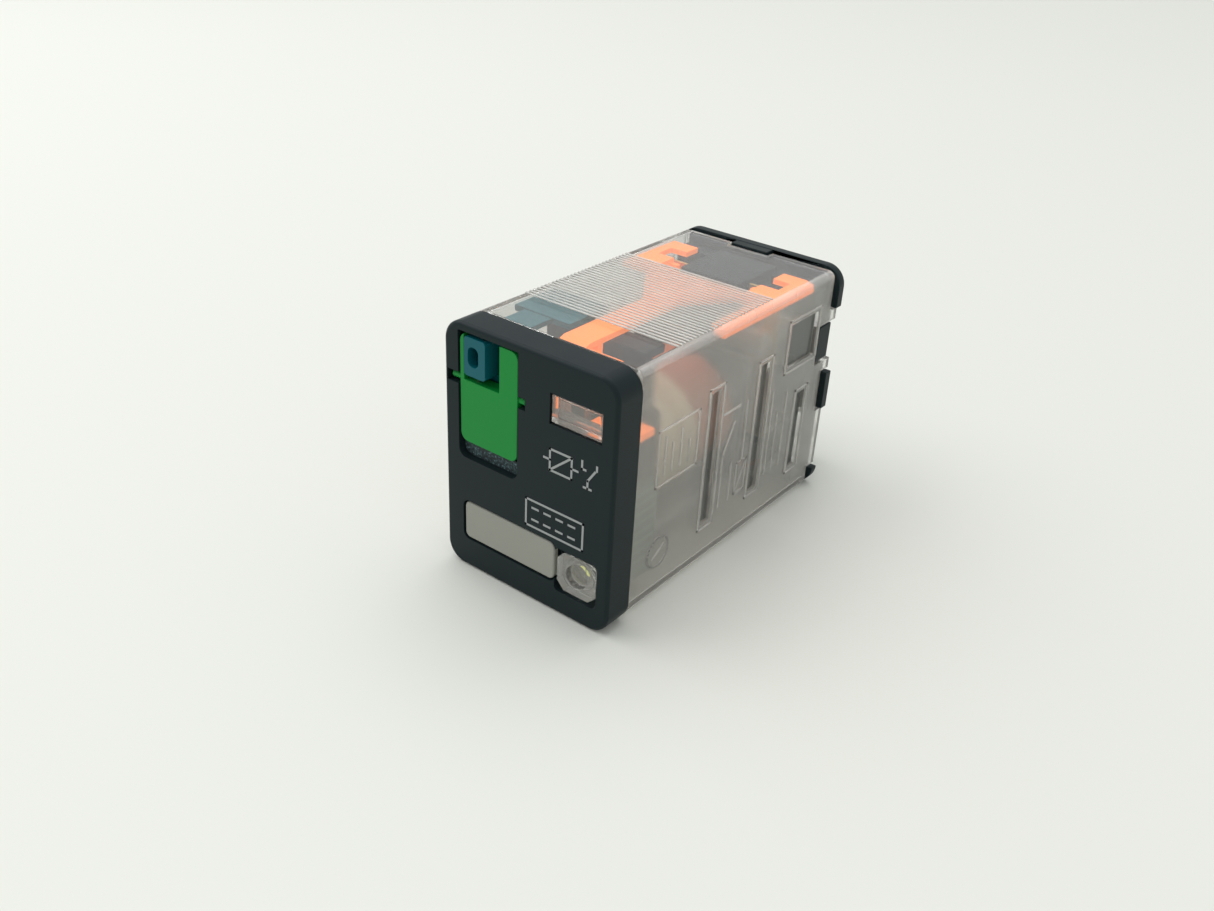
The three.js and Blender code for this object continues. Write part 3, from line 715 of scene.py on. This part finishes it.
class Tree:
    """A geometry node tree with named inputs, built link by link."""

    def __init__(self, name):
        self.group = bpy.data.node_groups.new(name, "GeometryNodeTree")
        self.group.interface.new_socket("Geometry", in_out="OUTPUT", socket_type="NodeSocketGeometry")
        self.inputs = None
        self.identifiers = {}

    def take(self, **sockets):
        for name, (kind, default) in sockets.items():
            socket = self.group.interface.new_socket(name.replace("_", " "), in_out="INPUT", socket_type=kind)
            if default is not None:
                socket.default_value = default
            self.identifiers[name] = socket.identifier
        self.inputs = self.group.nodes.new("NodeGroupInput")
        return self

    def given(self, name):
        return Value(self.group, self.inputs.outputs[name.replace("_", " ")])

    def node(self, kind, settings=None, inputs=None, output=0):
        return Value(self.group, add_node(self.group, kind, settings, inputs).outputs[output])

    def vector(self, x=0.0, y=0.0, z=0.0):
        return self.node("ShaderNodeCombineXYZ", None, {"X": x, "Y": y, "Z": z})

    def finish(self, geometry):
        real = self.node("GeometryNodeRealizeInstances", None, {"Geometry": geometry})
        clad = self.node("GeometryNodeSetMaterial", None, {
            "Geometry": real, "Material": self.given("Material"),
        })
        add_node(self.group, "NodeGroupOutput", None, {"Geometry": clad})

    def grow(self, name, **values):
        """A plain mesh piece grown by the tree with these inputs."""
        piece = new_piece(name, bpy.data.meshes.new(name))
        modifier = piece.modifiers.new("grown", "NODES")
        modifier.node_group = self.group
        for key, value in values.items():
            modifier[self.identifiers[key]] = value
        return baked(piece)


def rib_tree():
    """Fine parallel ribs across the top, one instance each."""
    tree = Tree("Grip ribs").take(
        Count=("NodeSocketInt", 28), Pitch=("NodeSocketFloat", 0.0006), Width=("NodeSocketFloat", 0.018),
        Radius=("NodeSocketFloat", 0.00016), Start=("NodeSocketFloat", 0.0),
        Level=("NodeSocketFloat", 0.026), Material=("NodeSocketMaterial", None),
    )
    line = tree.node("GeometryNodeMeshLine", {"mode": "OFFSET"}, {
        "Count": tree.given("Count"),
        "Start Location": tree.vector(y=tree.given("Start"), z=tree.given("Level")),
        "Offset": tree.vector(y=tree.given("Pitch")),
    })
    bar = tree.node("GeometryNodeMeshCylinder", None, {
        "Vertices": 6, "Radius": tree.given("Radius"), "Depth": tree.given("Width"),
    })
    ribs = tree.node("GeometryNodeInstanceOnPoints", None, {
        "Points": line, "Instance": bar, "Rotation": (0.0, math.pi / 2, 0.0),
    })
    tree.finish(ribs)
    return tree


def winding_tree():
    """One layer of wire turns round a solid core, its axis along the depth."""
    tree = Tree("Coil turns").take(
        Turns=("NodeSocketFloat", 40.0), Radius=("NodeSocketFloat", 0.006), Wire=("NodeSocketFloat", 0.0003),
        Length=("NodeSocketFloat", 0.015), Centre=("NodeSocketVector", (0.0, 0.0, 0.0)),
        Material=("NodeSocketMaterial", None),
    )
    coil = tree.node("GeometryNodeCurveSpiral", None, {
        "Resolution": 40, "Rotations": tree.given("Turns"), "Start Radius": tree.given("Radius"),
        "End Radius": tree.given("Radius"), "Height": tree.given("Length"),
    })
    section = tree.node("GeometryNodeCurvePrimitiveCircle", None, {
        "Resolution": 7, "Radius": tree.given("Wire") * 0.5,
    })
    wire = tree.node("GeometryNodeCurveToMesh", None, {
        "Curve": coil, "Profile Curve": section, "Fill Caps": True,
    })
    centred = tree.node("GeometryNodeTransform", None, {
        "Geometry": wire, "Translation": tree.vector(z=tree.given("Length") * -0.5),
    })
    core = tree.node("GeometryNodeMeshCylinder", None, {
        "Vertices": 64, "Radius": tree.given("Radius"),
        "Depth": tree.given("Length") + tree.given("Wire") * 0.9,
    })
    together = tree.node("GeometryNodeJoinGeometry", None, {"Geometry": centred})
    tree.group.links.new(core.socket, together.socket.node.inputs[0])
    laid = tree.node("GeometryNodeTransform", None, {
        "Geometry": together, "Rotation": (math.pi / 2, 0.0, 0.0), "Translation": tree.given("Centre"),
    })
    tree.finish(laid)
    return tree


# ---------------------------------------------------------------- operators

class RELAY_OT_bezel(bpy.types.Operator):
    """Front bezel with its openings, and the generic symbols on its face"""

    bl_idname = "relay.bezel"
    bl_label = "Bezel"

    def execute(self, context):
        low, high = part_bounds("front_bezel")
        skin, ink_lift = 0.03, 0.05
        before, through = -1, 2.8
        doorway_left, doorway_right = -8.67, -1.03
        body = pillow(
            "bezel", (low.x, high.x, low.z, high.z), sizes().bezel_corner, deep(skin), high.y,
            sizes().bezel_fillet, steps=12, turns=6,
        )
        hollow = round_cutter((-9.7, 9.7, 0.8, 26.2), 1.4, (1.8, 5))
        doorway = round_cutter((doorway_left, doorway_right, 14.2, 26.2), 0.2, (before, through))
        ledge = round_cutter((doorway_left, doorway_right, 12.8, 16.6), 0.9, (before, 0.9))
        pin_slots = cutter((-10.1, -0.15), (before, 1.3), (20.6, 21.8))
        window = cutter((2.8, 8.9), (before, through), (20.45, 23.55))
        plate_seat = round_cutter((-8.2, 3.95, 3.34, 7.94), 0.8, (before, 1))
        lens_hole = round_cutter((3.9, 9.1, 2.65, 7.55), 0.5, (before, through))
        carve(body, hollow, doorway, ledge, pin_slots, window, plate_seat, lens_hole)
        soften(body, 0.1 * MM, 3)
        place(body, "housing", "slate_plastic", "slate_plastic", "front_bezel")
        paint(body, "slate_ledge", lambda c, n: (
            n.y < -0.9 and deep(0.6) < c.y < deep(1.2) and 12.5 * MM < c.z < 14.5 * MM and c.x < -1 * MM
        ))

        coil_symbol = [
            outline(3.0, 5.6, 15.7, 17.9), [(3.0, 15.7), (5.6, 17.9)], [(2.3, 16.8), (3.0, 16.8)],
            [(5.6, 16.8), (6.3, 16.8)],
        ]
        switch_symbol = [
            [(7.5, 15.5), (7.5, 16.3), (8.3, 17.5)], [(6.8, 18.1), (6.8, 17.3), (7.2, 17.3)],
            [(8.5, 18.1), (8.5, 17.7)], [(7.1, 15.5), (7.9, 15.5)],
        ]
        dash, dash_step, row_step = 0.7, 1.5, 1.3
        dashes = []
        for column in range(4):
            for row in range(2):
                x, z = 1.0 + column * dash_step, 9.4 + row * row_step
                dashes.append([(x, z), (x + dash, z)])
        border = [outline(0.2, 7.2, 8.6, 11.5)]
        marks = strokes(
            "front_symbols", scaled(coil_symbol + switch_symbol + dashes + border), sizes().mark_stroke,
            deep(0.0), deep(skin + ink_lift),
        )
        place(marks, "housing", "printed_ink", "grey_plastic")
        return {"FINISHED"}


class RELAY_OT_cover(bpy.types.Operator):
    """Clear cover: a thin shell with grooves, grip ribs and raised side marks"""

    bl_idname = "relay.cover"
    bl_label = "Cover"

    def execute(self, context):
        low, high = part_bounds("clear_cover")
        wall = sizes().cover_wall
        front, back, inner_front = 3.75, 38.6, 4.65
        spigot_front, mouth = 2.1, (2.9, 5.0)
        notch_front, beyond = 36.6, 40.5
        outside, groove_floor = 11, 9.65
        shell = pillow(
            "cover", (low.x, high.x, low.z, high.z), sizes().cover_corner, deep(front), deep(back),
            0.3 * MM, 0.2 * MM, steps=8, turns=3,
        )
        weld(shell, round_cutter((-9.4, 9.4, 1.1, 25.9), 1.0, (spigot_front, 4.6)))
        for side in (-1, 1):
            for bottom, top in ((2.6, 9.9), (15.0, 22.2)):
                weld(shell, cutter(sorted((side * 9.2, side * 10.0)), (37.6, 40), (bottom, top)))
        # each groove: its front and back depth, then its bottom and top
        grooves = (
            (15.9, 17.5, 5.1, 20.2), (24.9, 26.6, 5.1, 20.2), (33.4, 35.0, 4.6, 14.0),
            (30.3, 35.8, 18.0, 23.0),
        )
        door_room, button_room = (19.7, 25.9), (19.7, 28)
        tools = [
            pillow(
                "cutter", (low.x + wall, high.x - wall, low.z + wall, high.z - wall), 0.4 * MM,
                deep(inner_front), deep(41), steps=6,
            ),
            round_cutter((-8.8, 8.8, 2.0, 25.0), 0.3, mouth),
            cutter((-9.1, -0.7), (1.0, 4.75), door_room),
            cutter((-9.1, -0.7), (1.0, 3.73), button_room),
            cutter((3.2, 8.5), (1.0, front), (20.75, 23.25)),
            rod("cutter", 6.5 * MM, 5.1 * MM, 1.9 * MM, deep(1), deep(front)),
            cutter((-3.25, 2.05), (37.4, beyond), (25.0, 27.2)),
        ]
        for side in (-1, 1):
            for start, end, bottom, top in grooves:
                x = sorted((side * groove_floor, side * outside))
                tools.append(cutter(x, (start, end), (bottom, top)))
            notch = sorted((side * 8.2, side * outside))
            tools.append(cutter(notch, (notch_front, beyond), (16.2, 20.9)))
        carve(shell, *tools)
        soften(shell, 0.06 * MM, 2)
        place(shell, "housing", "frosted_wall", "clear_plastic", "clear_cover")
        paint(shell, "clear_top", lambda c, n: abs(n.z) > 0.8 and c.z > 25 * MM)
        # Painted highlight: the bevel faces along the long edges get the milky mark surface, a bright line
        # standing in for light caught by the edge.
        paint(shell, "milky_mark_and_highlight", lambda c, n: (
            0.25 < abs(n.x) < 0.97 and abs(n.z) > 0.2 and abs(c.x) > 8.9 * MM and abs(n.y) < 0.3
        ))
        # Painted shade on the groove floors.
        paint(shell, "groove_painted_shade", lambda c, n: abs(n.x) > 0.9 and 9.5 * MM < abs(c.x) < 9.75 * MM and any(
            deep(start) < c.y < deep(end) and bottom * MM < c.z < top * MM
            for start, end, bottom, top in grooves
        ))

        ribbed_run = 16.8 * MM
        count = sizes().rib_count
        radius = sizes().rib_height
        ribs = rib_tree().grow(
            "grip_ribs", Count=count, Pitch=ribbed_run / count, Width=18.6 * MM, Radius=radius,
            Start=deep(10.3), Level=high.z - radius * 0.1, Material=material("rib_plastic"),
        )
        place(ribs, "housing", None, "clear_plastic")

        rim = 0.5
        lines = [
            outline(start - rim, end + rim, bottom - rim, top + rim) for start, end, bottom, top in grooves
        ]
        lines += [
            [(18.9, 6), (18.9, 12), (20.6, 15.4)], [(20.8, 6), (20.8, 10.5)], [(18.4, 17), (21.4, 17)],
            outline(21.9, 23.7, 6.2, 10), [(21.9, 6.2), (23.7, 10)], [(22.8, 10), (22.8, 17)],
        ]
        lines += [
            outline(7.2, 13.8, 13.4, 19.4), [(8.4, 14.4), (8.4, 18.4)], [(9.6, 14.4), (9.6, 17.4)],
            [(11.0, 14.4), (11.0, 18.4)], [(12.4, 14.4), (12.4, 16.6)], [(28.0, 6), (28.0, 16)],
            [(29.4, 6), (29.4, 13)], [(31.0, 6), (31.0, 15)],
        ]
        lines.append(arc(8.4, 5.6, 1.7))
        lines.append([(7.5, 5.0), (9.3, 6.2)])
        sunk, lift = 0.05 * MM, 0.1 * MM
        for side, name in ((-1, "left"), (1, "right")):
            face = side * high.x
            marks = strokes(
                "side_marks_" + name, [[(deep(u), v * MM) for u, v in line] for line in lines],
                sizes().mark_stroke * 0.9, face - side * sunk, face + side * lift, "side",
            )
            place(marks, "housing", "milky_mark_and_highlight", "clear_plastic")
        return {"FINISHED"}


class RELAY_OT_base(bpy.types.Operator):
    """Base moulding with its blade slots and latch nubs"""

    bl_idname = "relay.base"
    bl_label = "Base"

    def execute(self, context):
        refined("base", "housing", "slate_plastic", "slate_plastic", 0.15, 3)
        return {"FINISHED"}


class RELAY_OT_controls(bpy.types.Operator):
    """Lock door, test button, legend plate, indicator window and lamp lens"""

    bl_idname = "relay.controls"
    bl_label = "Front controls"

    def execute(self, context):
        edge = sizes().edge_round / MM
        refined("lock_door", "lock_door", "green_plastic", "green_plastic", edge, 4)
        button = refined("test_button", "test_button", "teal_plastic", "teal_plastic", edge * 0.8, 3)
        # Painted shade: the floor of the button's eye hole gets the black surface, standing in for the shade
        # deep in the hole.
        paint(button, "black_plastic", lambda c, n: (
            n.y < -0.9 and deep(1.4) < c.y < deep(1.8) and c.z > 22 * MM
        ))
        refined("legend_plate", "legend_plate", "legend_plastic", "grey_plastic", edge * 1.4, 4)
        refined("indicator_window", "housing", "polished_plastic", "lens_plastic", 0.08, 3)
        refined("led_lens", "housing", "lens_plastic", "lens_plastic", 0.12, 3)
        return {"FINISHED"}


class RELAY_OT_lamp(bpy.types.Operator):
    """Lamp, its chips, and the small circuit board beside it"""

    bl_idname = "relay.lamp"
    bl_label = "Lamp circuit"

    def execute(self, context):
        refined("led_lamp", "housing", "lamp_epoxy", "lamp_epoxy", 0.1, 3)
        low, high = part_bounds("led_lens")
        x, z = (low.x + high.x) / 2, (low.z + high.z) / 2
        half_width, half_height, corner = 0.27, 0.33 * MM, 0.1 * MM
        for name, shift in (("lamp_chip_a", -0.40), ("lamp_chip_b", 0.40)):
            left, right = x + (shift - half_width) * MM, x + (shift + half_width) * MM
            chip = pillow(
                name, (left, right, z - half_height, z + half_height), corner,
                deep(2.12), deep(2.5), 0.08 * MM, steps=4, turns=3,
            )
            place(chip, "housing", "lamp_chip", "lamp_epoxy")
        # Painted highlight: a raised ring with the milky mark surface stands in for the bright rim of the
        # lens.
        circle = arc(x / MM, z / MM, 1.36, steps=40)
        rim = strokes("lens_ring", scaled([circle]), 0.18 * MM, deep(1.35), deep(1.6))
        place(rim, "housing", "milky_mark_and_highlight", "lens_plastic")
        refined("led_board", "housing", "circuit_board", "green_board", 0.04, 1)
        refined("led_resistor", "housing", "tan_ceramic", "tan_ceramic", 0.15, 3)
        refined("suppression_diode", "housing", "black_plastic", "black_plastic", 0.1, 3)
        return {"FINISHED"}


class RELAY_OT_magnet(bpy.types.Operator):
    """Bobbin, wire turns, tape, core, yoke, armature and its spring"""

    bl_idname = "relay.magnet"
    bl_label = "Magnet"

    def execute(self, context):
        refined("coil_bobbin", "housing", "black_plastic", "black_plastic", 0.1, 2)
        low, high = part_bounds("coil_winding")
        wire = sizes().wire
        run = high.y - low.y - wire
        radius = (high.x - low.x) / 2 - wire / 2
        turns = winding_tree().grow(
            "coil_turns", Turns=run / wire, Radius=radius, Wire=wire, Length=run,
            Centre=(0.0, (low.y + high.y) / 2, (low.z + high.z) / 2), Material=material("copper_enamel"),
        )
        place(turns, "housing", None, "copper_wire", "coil_winding")
        refined("coil_tape", "housing", "cream_tape", "cream_tape", 0.04, 2)
        refined("core", "housing", "dull_steel", "dull_steel", 0.1, 2)
        refined("yoke", "housing", "dull_steel", "dull_steel", 0.15, 3)
        refined("armature", "armature", "dull_steel", "dull_steel", 0.1, 3)
        refined("armature_spring", "armature", "spring_brass", "spring_brass", 0.03, 1)
        return {"FINISHED"}


class RELAY_OT_contacts(bpy.types.Operator):
    """Contact card, flag, springs, contacts, blades and leads"""

    bl_idname = "relay.contacts"
    bl_label = "Contacts"

    def execute(self, context):
        refined("contact_card", "contact_card", "orange_plastic", "orange_plastic", 0.1, 3)
        refined("indicator_flag", "indicator_flag", "orange_plastic", "orange_plastic", 0.08, 2)
        for side in ("left", "right"):
            leaf = "moving_contact_" + side
            refined("moving_spring_" + side, leaf, "spring_brass", "spring_brass", 0.04, 2)
            refined(leaf, leaf, "silver_alloy", "silver_alloy", 0.12, 3)
            for name in ("nc_contact_", "no_contact_"):
                refined(name + side, "housing", "silver_alloy", "silver_alloy", 0.12, 3)
            for name in ("nc_blade_", "no_blade_", "common_blade_", "coil_blade_"):
                refined(name + side, "housing", "tinned_brass", "tinned_brass", 0.12, 3)
            refined("coil_lead_" + side, "housing", "copper_enamel", "copper_wire", 0)
        return {"FINISHED"}


class RELAY_OT_stage(bpy.types.Operator):
    """Pale floor, soft lights and the camera"""

    bl_idname = "relay.stage"
    bl_label = "Stage"

    def execute(self, context):
        scene = context.scene
        bm = bmesh.new()
        bmesh.ops.create_grid(bm, x_segments=1, y_segments=1, size=3.0)
        floor = from_bmesh("floor", bm)
        floor.data.materials.append(material("floor_paint"))

        world = bpy.data.worlds.new("soft room")
        world.use_nodes = True
        background = world.node_tree.nodes["Background"]
        background.inputs["Color"].default_value = (1.0, 1.0, 0.99, 1.0)
        background.inputs["Strength"].default_value = 0.75
        scene.world = world

        sun = bpy.data.lights.new("broad key", "SUN")
        sun.energy = 0.92
        sun.angle = math.radians(50)
        key = bpy.data.objects.new("broad_key", sun)
        key.rotation_euler = Vector((-0.15, 0.30, 1.0)).to_track_quat("Z", "Y").to_euler()
        scene.collection.objects.link(key)

        panel = bpy.data.lights.new("left panel", "AREA")
        panel.shape = "RECTANGLE"
        panel.size, panel.size_y = 0.6, 0.4
        panel.energy = 1.5
        lamp = bpy.data.objects.new("left_panel", panel)
        lamp.location = (-0.40, -0.14, 0.45)
        relay_middle = Vector((0, 0, 0.013))
        lamp.rotation_euler = (lamp.location - relay_middle).to_track_quat("Z", "Y").to_euler()
        scene.collection.objects.link(lamp)

        azimuth, elevation, roll = math.radians(36.85), math.radians(29.4), math.radians(3.19)
        distance = 124.65
        back = Vector((
            math.sin(azimuth) * math.cos(elevation),
            -math.cos(azimuth) * math.cos(elevation),
            math.sin(elevation),
        ))
        level = Vector((0, 0, 1)).cross(back).normalized()
        upright = back.cross(level)
        right = level * math.cos(roll) + upright * math.sin(roll)
        up = upright * math.cos(roll) - level * math.sin(roll)
        aim = Vector((-0.5, -3.0, 13.0)) - right * 4.24 - up * 4.70
        camera = bpy.data.cameras.new("camera")
        camera.sensor_width = 36
        camera.lens = 34.61
        camera.clip_start = 0.005
        viewer = bpy.data.objects.new("camera", camera)
        turned = Matrix((right, up, back)).transposed().to_4x4()
        viewer.matrix_world = Matrix.Translation((aim + back * distance) * MM) @ turned
        scene.collection.objects.link(viewer)
        scene.camera = viewer
        scene.view_settings.view_transform = "Standard"
        return {"FINISHED"}


class RELAY_PT_panel(bpy.types.Panel):
    """Lists the relay's operators and settings"""

    bl_idname = "RELAY_PT_panel"
    bl_label = "Relay"
    bl_space_type = "VIEW_3D"
    bl_region_type = "UI"
    bl_category = "Relay"

    def draw(self, context):
        for operator in STEPS:
            self.layout.operator(operator.bl_idname)
        for group in (context.scene.relay_sizes, context.scene.relay_colours):
            box = self.layout.box()
            for name in group.__annotations__:
                box.prop(group, name)


STEPS = (
    RELAY_OT_stage, RELAY_OT_bezel, RELAY_OT_cover, RELAY_OT_base, RELAY_OT_controls, RELAY_OT_lamp,
    RELAY_OT_magnet, RELAY_OT_contacts,
)
CLASSES = (RelaySizes, RelayColours, *STEPS, RELAY_PT_panel)


def register():
    for made in CLASSES:
        bpy.utils.register_class(made)
    bpy.types.Scene.relay_sizes = PointerProperty(type=RelaySizes)
    bpy.types.Scene.relay_colours = PointerProperty(type=RelayColours)


def unregister():
    del bpy.types.Scene.relay_colours
    del bpy.types.Scene.relay_sizes
    for made in reversed(CLASSES):
        bpy.utils.unregister_class(made)


def main():
    register()
    for operator in STEPS:
        group, action = operator.bl_idname.split(".")
        getattr(getattr(bpy.ops, group), action)()


if __name__ == "__main__":
    main()
